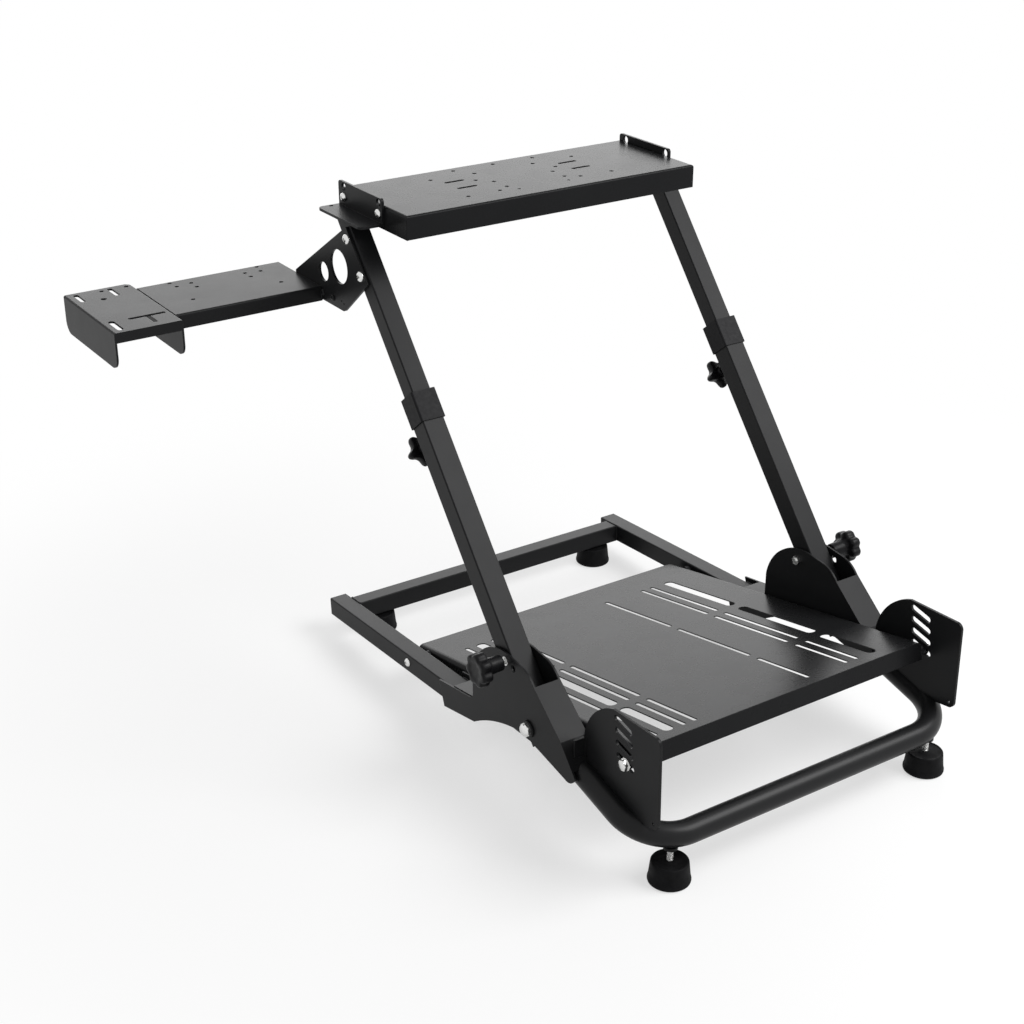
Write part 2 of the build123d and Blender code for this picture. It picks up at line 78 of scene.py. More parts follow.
# The lock screws: up the leg from the pivot, and behind the leg's axis.
FOLD_SCREW_ALONG = 98.5
FOLD_SCREW_BACK = -6
HEIGHT_SCREW_ALONG = 430.5

# The row frame's origin is halfway from the end bracket's rear edge to the feet's front.
# MID_X is the legs' middle plane in that frame.
END_BEHIND_LEG_TOP = 240.7
FOOT_BEFORE_TUBE = 25.75
MID_X = 0.1385
DATUM_Y = -(LEG_TOP_Y + END_BEHIND_LEG_TOP - FOOT_BEFORE_TUBE) / 2000
PIVOT = Vector((MID_X, DATUM_Y + PIVOT_Y / 1000, PIVOT_Z / 1000))

# The photograph's camera: pixels, degrees, and the film's width in millimetres.
FOCAL_PX = 1749.35
PHOTO_PX = 1024
AZIMUTH = -33.48
ELEVATION = 25.79
FILM = 36

# The finish of each material slot of the record.
FINISHES = {
    "powder_coat": "satin powder coat", "plate_coat": "smooth powder coat",
    "bright_steel": "zinc plated steel", "black_plastic": "moulded collar",
    "knob_plastic": "moulded grip", "foot_rubber": "foot rubber",
}
COPIES = "copies of a shape"
THREAD = "screw thread"
BEAD = "weld bead"
RING_POINTS = 120
SMALL_DOME = 0.86  # a deck or rail screw's head beside a gusset screw's
THREAD_RADIUS = 0.0036
HEX_CORNER = 1.1547  # a hexagon's radius at a corner over that at a flat
CHAMFER_SLOPE = 1.732  # of a hex head's cone, outwards for each unit down

# Sockets of a Mix node that mixes colours.
MIX_SHARE, MIX_FIRST, MIX_SECOND, MIX_COLOUR = 0, 6, 7, 2


def at(x, y, z):
    """Millimetres from the middle plane, the front tube's axis and the floor."""
    return Vector((MID_X + x / 1000, DATUM_Y + y / 1000, z / 1000))


def on_leg(x, along, back):
    """Millimetres beside the middle plane, up the leg from its pivot and behind its axis."""
    return (
        PIVOT
        + Vector((x / 1000, 0, 0))
        + UP_LEG * (along / 1000)
        + BACK_OF_LEG * (back / 1000)
    )


class StandFinish(bpy.types.PropertyGroup):
    coat_colour: bpy.props.FloatVectorProperty(
        name="Coat colour", description="Powder coat of the frame", subtype="COLOR",
        size=3, min=0, max=1, default=(0.0098, 0.0100, 0.0106))
    coat_specular: bpy.props.FloatProperty(
        name="Coat shine", description="Strength of the powder coat's reflections",
        default=0.102, min=0, max=1, subtype="FACTOR")
    tube_specular: bpy.props.FloatProperty(
        name="Tube shine", description="Strength of the round front tube's reflections",
        default=0.17, min=0, max=1, subtype="FACTOR")
    plate_specular: bpy.props.FloatProperty(
        name="Plate shine", description="Strength of the deck's and pan's reflections",
        default=0.066, min=0, max=1, subtype="FACTOR")
    edge_radius: bpy.props.FloatProperty(
        name="Edge", description="Radius that edges of sheet and tube seem to have",
        default=0.0007, min=0.0001, max=0.004, unit="LENGTH")
    coat_grain: bpy.props.FloatProperty(
        name="Coat grain", description="Size of the powder coat's orange peel",
        default=0.0011, min=0.0002, max=0.01, unit="LENGTH")
    coat_rough: bpy.props.FloatProperty(
        name="Coat roughness", description="Roughness of the powder coat",
        default=0.36, min=0.05, max=1, subtype="FACTOR")
    plate_rough: bpy.props.FloatProperty(
        name="Plate roughness", description="Roughness of the deck and pedal pan",
        default=0.27, min=0.05, max=1, subtype="FACTOR")
    rubber_colour: bpy.props.FloatVectorProperty(
        name="Rubber colour", description="Feet", subtype="COLOR", size=3, min=0, max=1,
        default=(0.0030, 0.0030, 0.0034))
    knob_colour: bpy.props.FloatVectorProperty(
        name="Knob colour", description="Moulded grips", subtype="COLOR", size=3, min=0,
        max=1, default=(0.0035, 0.0035, 0.004))


class StandHardware(bpy.types.PropertyGroup):
    screw_across: bpy.props.FloatProperty(
        name="Screw head", description="Width of a hex head across its flats",
        default=0.0145, min=0.004, max=0.03, unit="LENGTH")
    dome_radius: bpy.props.FloatProperty(
        name="Domed head", description="Radius of a domed head on the gusset",
        default=0.0078, min=0.002, max=0.02, unit="LENGTH")
    washer_radius: bpy.props.FloatProperty(
        name="Washer", description="Radius of the washer under a head",
        default=0.0092, min=0.003, max=0.03, unit="LENGTH")
    thread_pitch: bpy.props.FloatProperty(
        name="Thread pitch", description="From one turn of a screw's thread to the next",
        default=0.00125, min=0.0005, max=0.004, unit="LENGTH")
    bead_radius: bpy.props.FloatProperty(
        name="Weld bead", description="Radius of a weld bead", default=0.0017,
        min=0.0005, max=0.006, unit="LENGTH")
    grip_radius: bpy.props.FloatProperty(
        name="Fold grip", description="Radius of the fold screws' grips at a lobe",
        default=0.025, min=0.01, max=0.04, unit="LENGTH")
    height_grip_radius: bpy.props.FloatProperty(
        name="Height grip", description="Radius of the height screws' grips at a lobe",
        default=0.0248, min=0.01, max=0.04, unit="LENGTH")


class StageSetup(bpy.types.PropertyGroup):
    world_level: bpy.props.FloatProperty(
        name="World level", description="Even light from all round", default=0.42,
        min=0, max=3)
    back_power: bpy.props.FloatProperty(
        name="Back light", description="Wide soft light behind the stand",
        default=56, min=0, max=2000, unit="POWER")
    front_power: bpy.props.FloatProperty(
        name="Front light", description="Soft light above the pedal end", default=78,
        min=0, max=2000, unit="POWER")
    near_floor: bpy.props.FloatProperty(
        name="Near floor", description="Distance within which the floor is a lit surface",
        default=0.45, min=0.1, max=10, unit="LENGTH")
    far_floor: bpy.props.FloatProperty(
        name="Far floor", description="Distance beyond which the floor is plain white",
        default=1.5, min=0.1, max=20, unit="LENGTH")
    floor_white: bpy.props.FloatProperty(
        name="Floor white", description="Share of plain white in the floor near the stand",
        default=0.6, min=0, max=1, subtype="FACTOR")


def settings():
    return bpy.context.scene.wheel_stand_finish


def hardware():
    return bpy.context.scene.wheel_stand_hardware


def add_object(name, data):
    thing = bpy.data.objects.new(name, data)
    bpy.context.collection.objects.link(thing)
    return thing


def new_material(name):
    material = bpy.data.materials.new(name)
    material.use_nodes = True
    tree = material.node_tree
    tree.nodes.clear()
    shader = tree.nodes.new("ShaderNodeBsdfPrincipled")
    out = tree.nodes.new("ShaderNodeOutputMaterial")
    tree.links.new(shader.outputs["BSDF"], out.inputs["Surface"])
    return material, tree, shader


def place(tree):
    return tree.nodes.new("ShaderNodeTexCoord").outputs["Object"]


def noise(tree, scale, detail=3.0, rough=0.5):
    node = tree.nodes.new("ShaderNodeTexNoise")
    node.inputs["Scale"].default_value = scale
    node.inputs["Detail"].default_value = detail
    node.inputs["Roughness"].default_value = rough
    tree.links.new(place(tree), node.inputs["Vector"])
    return node.outputs["Fac"]


def spread(tree, source, low, high, from_low=0.3, from_high=0.7):
    node = tree.nodes.new("ShaderNodeMapRange")
    node.inputs["From Min"].default_value = from_low
    node.inputs["From Max"].default_value = from_high
    node.inputs["To Min"].default_value = low
    node.inputs["To Max"].default_value = high
    tree.links.new(source, node.inputs["Value"])
    return node.outputs["Result"]


def maths(tree, operation, first, second):
    """What an operation makes of a socket and a second socket or number."""
    node = tree.nodes.new("ShaderNodeMath")
    node.operation = operation
    tree.links.new(first, node.inputs[0])
    if isinstance(second, (int, float)):
        node.inputs[1].default_value = second
    else:
        tree.links.new(second, node.inputs[1])
    return node.outputs[0]


def tint(tree, factor, dark, light):
    node = tree.nodes.new("ShaderNodeMix")
    node.data_type = "RGBA"
    node.inputs[MIX_FIRST].default_value = (*dark, 1)
    node.inputs[MIX_SECOND].default_value = (*light, 1)
    tree.links.new(factor, node.inputs[MIX_SHARE])
    return node.outputs[MIX_COLOUR]


def bump(tree, shader, height, strength, distance, under=None):
    node = tree.nodes.new("ShaderNodeBump")
    node.inputs["Strength"].default_value = strength
    node.inputs["Distance"].default_value = distance
    tree.links.new(height, node.inputs["Height"])
    if under:
        tree.links.new(under, node.inputs["Normal"])
    tree.links.new(node.outputs["Normal"], shader.inputs["Normal"])


def edge_wear(tree, soft):
    """One near a sharp convex edge, nought on the flats."""
    shape = tree.nodes.new("ShaderNodeNewGeometry")
    dot = tree.nodes.new("ShaderNodeVectorMath")
    dot.operation = "DOT_PRODUCT"
    tree.links.new(soft.outputs["Normal"], dot.inputs[0])
    tree.links.new(shape.outputs["Normal"], dot.inputs[1])
    return spread(tree, dot.outputs["Value"], 1, 0, 0.80, 0.99)


def powder_coat(name, colour, rough, grain, specular, radius, peel_depth=0.16):
    material, tree, shader = new_material(name)
    soft = tree.nodes.new("ShaderNodeBevel")
    soft.samples = 5
    soft.inputs["Radius"].default_value = radius
    cloud = noise(tree, 9, 4)
    light = tuple(c * 1.12 + 0.0005 for c in colour)
    body = tint(tree, spread(tree, cloud, 0, 1), colour, light)
    edge = edge_wear(tree, soft)
    patch = spread(tree, noise(tree, 60, 5, 0.65), 0, 0.55, 0.5, 0.78)
    mix = tree.nodes.new("ShaderNodeMix")
    mix.data_type = "RGBA"
    mix.inputs[MIX_SECOND].default_value = (0.105, 0.105, 0.108, 1)
    tree.links.new(maths(tree, "MULTIPLY", edge, patch), mix.inputs[MIX_SHARE])
    tree.links.new(body, mix.inputs[MIX_FIRST])
    tree.links.new(mix.outputs[MIX_COLOUR], shader.inputs["Base Color"])
    smear = spread(tree, noise(tree, 22, 5, 0.6), rough - 0.012, rough + 0.016)
    tree.links.new(smear, shader.inputs["Roughness"])
    shader.inputs["Specular IOR Level"].default_value = specular
    peel = noise(tree, 1 / grain, 2, 0.45)
    bump(tree, shader, peel, peel_depth, 0.00012, soft.outputs["Normal"])
    return material


def bright_steel(name):
    material, tree, shader = new_material(name)
    shade = tint(tree, noise(tree, 140, 4), (0.62, 0.62, 0.61), (0.80, 0.80, 0.79))
    tree.links.new(shade, shader.inputs["Base Color"])
    shader.inputs["Metallic"].default_value = 1
    tree.links.new(spread(tree, noise(tree, 420, 3), 0.16, 0.30), shader.inputs["Roughness"])
    bump(tree, shader, noise(tree, 900, 2), 0.12, 0.00006)
    return material


def moulded_plastic(name, colour, rough, shine):
    material, tree, shader = new_material(name)
    light = tuple(c * 1.5 + 0.001 for c in colour)
    tree.links.new(tint(tree, noise(tree, 30, 4), colour, light), shader.inputs["Base Color"])
    tree.links.new(
        spread(tree, noise(tree, 200, 4), rough - 0.05, rough + 0.08),
        shader.inputs["Roughness"])
    shader.inputs["Specular IOR Level"].default_value = shine
    bump(tree, shader, noise(tree, 1500, 2), 0.22, 0.00008)
    return material


def foot_rubber(name, colour):
    material, tree, shader = new_material(name)
    light = tuple(c * 1.8 + 0.002 for c in colour)
    dust = spread(tree, noise(tree, 75, 6, 0.65), 0, 1, 0.35, 0.75)
    tree.links.new(tint(tree, dust, colour, light), shader.inputs["Base Color"])
    tree.links.new(spread(tree, noise(tree, 120, 4), 0.52, 0.70), shader.inputs["Roughness"])
    shader.inputs["Specular IOR Level"].default_value = 0.08
    bump(tree, shader, noise(tree, 1100, 3), 0.3, 0.0001)
    return material


def paint(thing, finish):
    thing.data.materials.clear()
    thing.data.materials.append(bpy.data.materials[finish])


def link_form(name, form):
    """A linked object of a bmesh, smooth and with its normals outwards."""
    bmesh.ops.recalc_face_normals(form, faces=form.faces)
    mesh = bpy.data.meshes.new(name)
    form.to_mesh(mesh)
    form.free()
    for face in mesh.polygons:
        face.use_smooth = True
    return add_object(name, mesh)


def set_on(thing, body, record_slot, *nodes):
    """Gives a piece its finish, its body and the frame pieces that it stands for."""
    paint(thing, FINISHES[record_slot])
    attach(thing, body)
    if nodes:
        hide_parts(*nodes)


def sharpen(thing, degrees=32):
    """Keeps faces flat-shaded across edges steeper than the angle."""
    form = bmesh.new()
    form.from_mesh(thing.data)
    limit = math.radians(degrees)
    for edge in form.edges:
        edge.smooth = len(edge.link_faces) == 2 and edge.calc_face_angle(0) < limit
    form.to_mesh(thing.data)
    form.free()


def square_frame(normal, hint):
    """Two unit vectors square to a direction and to each other, the first near the hint."""
    across = (hint - normal * hint.dot(normal)).normalized()
    return across, normal.cross(across)


def rings(form, centre, normal, hint, outline, profile, closed=True):
    """Skins rings along a direction: outline gives a radius at an angle and a ring's row of
    the profile, (height, size, lobing), in metres."""
    across, up = square_frame(normal, hint)
    made = []
    for height, size, lobing in profile:
        ring = []
        for step in range(RING_POINTS):
            angle = 2 * math.pi * step / RING_POINTS
            radius = outline(angle, size, lobing)
            point = (
                centre + normal * height
                + across * (radius * math.cos(angle)) + up * (radius * math.sin(angle))
            )
            ring.append(form.verts.new(point))
        made.append(ring)
    for lower, upper in zip(made, made[1:]):
        for step in range(RING_POINTS):
            after = (step + 1) % RING_POINTS
            form.faces.new((lower[step], lower[after], upper[after], upper[step]))
    if closed:
        form.faces.new(made[0][::-1])
        form.faces.new(made[-1])


def round_outline(angle, size, lobing):
    return size


def hex_outline(angle, size, lobing):
    """Radius of a hexagon across its flats, cut back to a cone where lobing is set."""
    part = (angle + math.pi / 6) % (math.pi / 3) - math.pi / 6
    corner = size / 2 / math.cos(part)
    return min(corner, lobing) if lobing else corner


def grip_outline(angle, size, lobing):
    """Five rounded lobes with hollows between them."""
    lobe = (0.5 + 0.5 * math.cos(5 * angle)) ** 1.5
    return size * (1 - 0.33 * lobing * (1 - lobe))


def fluted_outline(angle, size, lobing):
    """Seven broad lobes with shallow flutes between them."""
    flute = 0.5 - 0.5 * math.cos(7 * angle)
    return size * (1 - 0.16 * lobing * flute ** 1.6)


def spun(form, centre, normal, profile):
    rings(form, centre, normal, ANY_WAY, round_outline,
          [(height, radius, 0) for height, radius in profile])


def hex_block(form, centre, normal, across_flats, height):
    """A hexagon whose top corners are cut back to a cone."""
    half = across_flats / 2
    cut = 0.955 * half
    deep = 0.30 * (HEX_CORNER * half - cut) * 2
    profile = [(0, across_flats, 0)]
    for share in (0, 0.25, 0.5, 0.75, 1):
        back = deep * (1 - share)
        profile.append((height - back, across_flats, cut + back * CHAMFER_SLOPE))
    rings(form, centre, normal, ACROSS, hex_outline, profile)


def node_tree(name, sizes, takes_shape=False):
    """A Geometry Nodes tree, its input node and the socket that its shape ends in."""
    tree = bpy.data.node_groups.new(name, "GeometryNodeTree")
    face = tree.interface
    face.new_socket("Geometry", in_out="INPUT", socket_type="NodeSocketGeometry")
    for label in sizes:
        face.new_socket(label, in_out="INPUT", socket_type="NodeSocketFloat")
    if takes_shape:
        face.new_socket("Shape", in_out="INPUT", socket_type="NodeSocketObject")
    face.new_socket("Finish", in_out="INPUT", socket_type="NodeSocketMaterial")
    face.new_socket("Geometry", in_out="OUTPUT", socket_type="NodeSocketGeometry")
    given = tree.nodes.new("NodeGroupInput")
    real = tree.nodes.new("GeometryNodeRealizeInstances")
    paint = tree.nodes.new("GeometryNodeSetMaterial")
    out = tree.nodes.new("NodeGroupOutput")
    tree.links.new(real.outputs[0], paint.inputs["Geometry"])
    tree.links.new(given.outputs["Finish"], paint.inputs["Material"])
    tree.links.new(paint.outputs[0], out.inputs[0])
    return tree, given, real.inputs[0]


def run_tree(thing, tree, **values):
    """Applies a tree to an object and leaves a plain mesh."""
    modifier = thing.modifiers.new(tree.name, "NODES")
    modifier.node_group = tree
    known = {item.name: item.identifier for item in tree.interface.items_tree
             if item.in_out == "INPUT"}
    for label, value in values.items():
        modifier[known[label.replace("_", " ")]] = value
    bpy.context.view_layer.update()
    graph = bpy.context.evaluated_depsgraph_get()
    mesh = bpy.data.meshes.new_from_object(thing.evaluated_get(graph))
    mesh.name = thing.name
    thing.modifiers.clear()
    thing.data = mesh
    return thing


def point_row(name, places):
    """A mesh of points, each with the direction its copy of a shape looks in and its turn."""
    mesh = bpy.data.meshes.new(name)
    mesh.from_pydata([place for place, aim, turn in places], [], [])
    mesh.attributes.new("aim", "FLOAT_VECTOR", "POINT")
    mesh.attributes.new("turn", "FLOAT", "POINT")
    for index, (place, aim, turn) in enumerate(places):
        mesh.attributes["aim"].data[index].vector = aim
        mesh.attributes["turn"].data[index].value = math.radians(turn)
    return add_object(name, mesh)


def copies_tree():
    """Sets a copy of a shape on every point, turned to look along the point's aim."""
    tree, given, end = node_tree(COPIES, ("Size",), takes_shape=True)
    shape = tree.nodes.new("GeometryNodeObjectInfo")
    tree.links.new(given.outputs["Shape"], shape.inputs["Object"])
    aim = tree.nodes.new("GeometryNodeInputNamedAttribute")
    aim.data_type = "FLOAT_VECTOR"
    aim.inputs["Name"].default_value = "aim"
    turn = tree.nodes.new("GeometryNodeInputNamedAttribute")
    turn.data_type = "FLOAT"
    turn.inputs["Name"].default_value = "turn"
    look = tree.nodes.new("FunctionNodeAlignRotationToVector")
    look.axis = "Z"
    tree.links.new(aim.outputs["Attribute"], look.inputs["Vector"])
    spin = tree.nodes.new("FunctionNodeAxisAngleToRotation")
    spin.inputs["Axis"].default_value = (0, 0, 1)
    tree.links.new(turn.outputs["Attribute"], spin.inputs["Angle"])
    both = tree.nodes.new("FunctionNodeRotateRotation")
    both.rotation_space = "LOCAL"
    tree.links.new(look.outputs[0], both.inputs[0])
    tree.links.new(spin.outputs[0], both.inputs[1])
    spread_out = tree.nodes.new("GeometryNodeInstanceOnPoints")
    tree.links.new(given.outputs["Geometry"], spread_out.inputs["Points"])
    tree.links.new(shape.outputs["Geometry"], spread_out.inputs["Instance"])
    tree.links.new(both.outputs[0], spread_out.inputs["Rotation"])
    tree.links.new(given.outputs["Size"], spread_out.inputs["Scale"])
    tree.links.new(spread_out.outputs[0], end)


def copies(name, shape, places, body, record_slot, size=1.0):
    thing = run_tree(
        point_row(name, places), bpy.data.node_groups[COPIES], Shape=shape, Size=size,
        Finish=bpy.data.materials[FINISHES[record_slot]])
    sharpen(thing)
    set_on(thing, body, record_slot)


def thread_tree():
    """A screw thread up z, a ridge of three sides."""
    tree, given, end = node_tree(THREAD, ("Radius", "Pitch", "Length", "Ridge"))
    turns = maths(tree, "DIVIDE", given.outputs["Length"], given.outputs["Pitch"])
    spiral = tree.nodes.new("GeometryNodeCurveSpiral")
    spiral.inputs["Resolution"].default_value = 22
    tree.links.new(turns, spiral.inputs["Rotations"])
    tree.links.new(given.outputs["Radius"], spiral.inputs["Start Radius"])
    tree.links.new(given.outputs["Radius"], spiral.inputs["End Radius"])
    tree.links.new(given.outputs["Length"], spiral.inputs["Height"])
    ridge = tree.nodes.new("GeometryNodeCurvePrimitiveCircle")
    ridge.inputs["Resolution"].default_value = 4
    tree.links.new(given.outputs["Ridge"], ridge.inputs["Radius"])
    skin = tree.nodes.new("GeometryNodeCurveToMesh")
    skin.inputs["Fill Caps"].default_value = True
    tree.links.new(spiral.outputs[0], skin.inputs["Curve"])
    tree.links.new(ridge.outputs[0], skin.inputs["Profile Curve"])
    tree.links.new(skin.outputs[0], end)


def bead_tree():
    """A weld bead along a line, swelling and shrinking with each drop."""
    tree, given, end = node_tree(BEAD, ("Radius", "Drop"))
    line = tree.nodes.new("GeometryNodeMeshToCurve")
    tree.links.new(given.outputs["Geometry"], line.inputs[0])
    even = tree.nodes.new("GeometryNodeResampleCurve")
    even.mode = "LENGTH"
    tree.links.new(line.outputs[0], even.inputs["Curve"])
    tree.links.new(given.outputs["Drop"], even.inputs["Length"])
    count = tree.nodes.new("GeometryNodeInputIndex")
    wave = maths(tree, "MODULO", count.outputs[0], 3)
    swell = tree.nodes.new("ShaderNodeMapRange")
    swell.inputs["From Max"].default_value = 2
    swell.inputs["To Min"].default_value = 0.84
    swell.inputs["To Max"].default_value = 1.08
    tree.links.new(wave, swell.inputs["Value"])
    section = tree.nodes.new("GeometryNodeCurvePrimitiveCircle")
    section.inputs["Resolution"].default_value = 10
    tree.links.new(given.outputs["Radius"], section.inputs["Radius"])
    skin = tree.nodes.new("GeometryNodeCurveToMesh")
    skin.inputs["Fill Caps"].default_value = True
    tree.links.new(even.outputs[0], skin.inputs["Curve"])
    tree.links.new(section.outputs[0], skin.inputs["Profile Curve"])
    tree.links.new(swell.outputs[0], skin.inputs["Scale"])
    tree.links.new(skin.outputs[0], end)


class WHEELSTAND_OT_finishes(bpy.types.Operator):
    """Makes the finishes and gives them to the frame's own pieces"""

    bl_idname = "wheelstand.finishes"
    bl_label = "Finishes"

    def execute(self, context):
        look = settings()
        coat = tuple(look.coat_colour)
        powder_coat("satin powder coat", coat, look.coat_rough, look.coat_grain,
                    look.coat_specular, look.edge_radius)
        powder_coat("smooth powder coat", coat, look.plate_rough, look.coat_grain * 1.3,
                    look.plate_specular, look.edge_radius * 2.4, 0.09)
        powder_coat("deck powder coat", coat, look.plate_rough, look.coat_grain * 1.3,
                    look.plate_specular * 0.8, look.edge_radius * 2, 0.09)
        powder_coat("glossy powder coat", coat, look.coat_rough, look.coat_grain,
                    look.tube_specular, look.edge_radius)
        bright_steel("zinc plated steel")
        moulded_plastic("moulded collar", (0.009, 0.009, 0.0098), 0.44, 0.075)
        moulded_plastic("moulded grip", tuple(look.knob_colour), 0.36, 0.12)
        foot_rubber("foot rubber", tuple(look.rubber_colour))
        nodes = frame["nodes"]
        for part in frame["record"]["subparts"]:
            paint(nodes[part["node"]], FINISHES[part["material_slot"]])
        paint(nodes["front_tube"], "glossy powder coat")
        paint(nodes["deck_plate"], "deck powder coat")
        return {"FINISHED"}


def hex_head(name, across_flats, height, washer, thick):
    """A hex head on its washer, looking up z, to be copied."""
    form = bmesh.new()
    spun(form, ORIGIN, UP, [
        (0, washer * 0.97), (0.0002, washer), (thick - 0.0002, washer), (thick, washer * 0.97)])
    hex_block(form, Vector((0, 0, thick)), UP, across_flats, height)
    thing = link_form(name, form)
    thing.hide_render = True
    return thing


def socket_outline(angle, size, lobing):
    """Round, or a hexagon where lobing is set."""
    return hex_outline(angle, size, 0) if lobing else size


def button_head(name, radius, height):
    """A domed head with a hexagon socket, looking up z, to be copied."""
    form = bmesh.new()
    profile = [(0, radius * 0.97, 0), (0.03 * height, radius, 0), (0.16 * height, radius, 0)]
    for part in range(1, 8):
        angle = math.pi / 2 * part / 9
        profile.append((
            height * (0.16 + 0.84 * math.sin(angle)), radius * math.cos(angle) ** 0.8, 0))
    socket = radius * 0.62
    top = profile[-1][0] + 0.02 * height
    profile += [(top, socket * 0.58, 0), (top, socket, 1), (top - 0.42 * height, socket, 1)]
    rings(form, ORIGIN, UP, ACROSS, socket_outline, profile)
    thing = link_form(name, form)
    thing.hide_render = True
    return thing


class WHEELSTAND_OT_screws(bpy.types.Operator):
    """Sets the domed and hex heads on the brackets, gusset and rails"""

    bl_idname = "wheelstand.screws"
    bl_label = "Screws"

    def execute(self, context):
        sizes = hardware()
        copies_tree()
        head = hex_head("hex head", sizes.screw_across, 0.0062, sizes.washer_radius, 0.0016)
        dome = button_head("dome head", sizes.dome_radius, 0.72 * sizes.dome_radius)
        seat_front = LEG_TOP_Y - 62
        deck = [(at(hand * 261, seat_front + behind, 748), (hand, 0, 0), turn)
                for hand in (-1, 1) for behind, turn in ((10, 8), (113, 37))]
        copies("deck_screws", dome, deck, "upper_frame", "bright_steel", SMALL_DOME)
        gusset = [(on_leg(-GUSSET_FACE, LEG_TOP - drop, 0), (-1, 0, 0), turn)
                  for drop, turn in ((30.4, 14), (90.4, 49))]
        copies("gusset_screws", dome, gusset, "upper_frame", "bright_steel")
        rail = [(at(hand * 292.5, 588, 64.3), (hand, 0, 0), 20 + 9 * hand)
                for hand in (-1, 1)]
        copies("rail_screws", dome, rail, "floor_frame", "bright_steel", SMALL_DOME)
        pedal = [(at(hand * 270.5, 60, 164.5), (hand, 0, 0), 3 - 12 * hand)
                 for hand in (-1, 1)]
        copies("pan_screws", head, pedal, "floor_frame", "bright_steel")
        arm = [(on_leg(-GUSSET_FACE, LEG_TOP - drop, back), (-1, 0, 0), turn)
               for drop, back, turn in ((56.8, 129.7, 5), (77.1, 105.3, 31))]
        copies("arm_screws", dome, arm, "upper_frame", "powder_coat", 0.6)
        for shape in (head, dome):
            bpy.data.objects.remove(shape)
        return {"FINISHED"}


class WHEELSTAND_OT_threads_and_beads(bpy.types.Operator):
    """Makes the thread's tree and lays the weld beads of the floor frame and the arm"""

    bl_idname = "wheelstand.threads_and_beads"
    bl_label = "Weld beads"

    def execute(self, context):
        thread_tree()
        bead_tree()
        lines = []
        for hand in (-1, 1):
            # Hinge bracket's cheeks along the rail.
            for x in (293.0, 262.0):
                lines.append([at(hand * x, y, 84.3 - (y - 470) * RAIL_FALL - 0.6)
                              for y in range(408, 480, 6)])
            # Rear crossbar's ends on the rails.
            lines.append([at(hand * 262.2, y, 63.1 - (y - 809.3) * RAIL_FALL)
                          for y in range(796, 824, 3)])
            lines.append([at(hand * 262.2, 794.2, 63.6 - drop) for drop in range(1, 29, 3)])
        self.lay("frame_beads", lines, "floor_frame")
        arm_y = LEG_TOP_Y + 67.9 + 0.2
        arm_low = 612 - 22.5
        up_arm = [at(-297.0, arm_y, arm_low + 1 + step) for step in range(0, 20, 3)]
        self.lay("arm_beads", [up_arm], "upper_frame")
        return {"FINISHED"}

    def lay(self, name, lines, body):
        places, edges = [], []
        for line in lines:
            first = len(places)
            places += line
            edges += [(first + n, first + n + 1) for n in range(len(line) - 1)]
        mesh = bpy.data.meshes.new(name)
        mesh.from_pydata(places, edges, [])
        thing = run_tree(
            add_object(name, mesh), bpy.data.node_groups[BEAD],
            Radius=hardware().bead_radius, Drop=0.0011,
            Finish=bpy.data.materials[FINISHES["powder_coat"]])
        for face in thing.data.polygons:
            face.use_smooth = True
        set_on(thing, body, "powder_coat")


def fold_axis_point(x):
    """On a fold screw's axis at x beside the middle plane."""
    return on_leg(x, FOLD_SCREW_ALONG, FOLD_SCREW_BACK)


class WHEELSTAND_OT_fold_grips(bpy.types.Operator):
    """Makes the fluted grips and threaded screws that lock the fold"""

    bl_idname = "wheelstand.fold_grips"
    bl_label = "Fold grips"

    def execute(self, context):
        radius = hardware().grip_radius
        for hand, name in ((-1, "left"), (1, "right")):
            out = Vector((hand, 0, 0))
            base = fold_axis_point(hand * FOLD_GRIP_X)
            form = bmesh.new()
            rings(form, base, out, UP, fluted_outline, [
                (-0.0245, 0.0102, 0.0), (-0.0241, 0.0110, 0.0), (-0.0232, 0.0114, 0.0),
                (-0.0060, 0.0122, 0.0), (-0.0030, 0.0130, 0.1), (-0.0008, 0.0145, 0.3),
                (0.0006, 0.0172, 0.6), (0.0014, 0.0205, 0.9), (0.0024, radius * 0.93, 1.0),
                (0.0038, radius * 0.98, 1.0), (0.0058, radius, 1.0),
                (0.0146, radius * 0.995, 1.0), (0.0166, radius * 0.975, 1.0),
                (0.0178, radius * 0.935, 1.0), (0.0184, radius * 0.88, 0.95),
                (0.0186, radius * 0.80, 0.85), (0.0185, radius * 0.62, 0.4),
                (0.0180, radius * 0.55, 0.0), (0.0176, radius * 0.30, 0.0)])
            grip = link_form(name + "_fold_grip", form)
            sharpen(grip, 38)
            set_on(grip, name + "_fold_screw", "knob_plastic", name + "_fold_knob")
            self.screw(name, hand, out)
            ring = washer(name + "_fold_washer", fold_axis_point(hand * CHEEK_FACE), out,
                          0.0043, 0.0066, 0.0016)
            set_on(ring, "floor_frame", "bright_steel")
        return {"FINISHED"}

    def screw(self, name, hand, out):
        tip = fold_axis_point(hand * 295.3)
        form = bmesh.new()
        spun(form, tip, out, [
            (0, 0.0030), (0.0008, THREAD_RADIUS), (0.0125, THREAD_RADIUS)])
        shank = link_form(name + "_fold_shank", form)
        sharpen(shank)
        set_on(shank, name + "_fold_screw", "bright_steel")
        ridge = screw_thread(
            name + "_fold_thread", tip + out * 0.001, out, THREAD_RADIUS, 0.0112)
        set_on(ridge, name + "_fold_screw", "bright_steel")


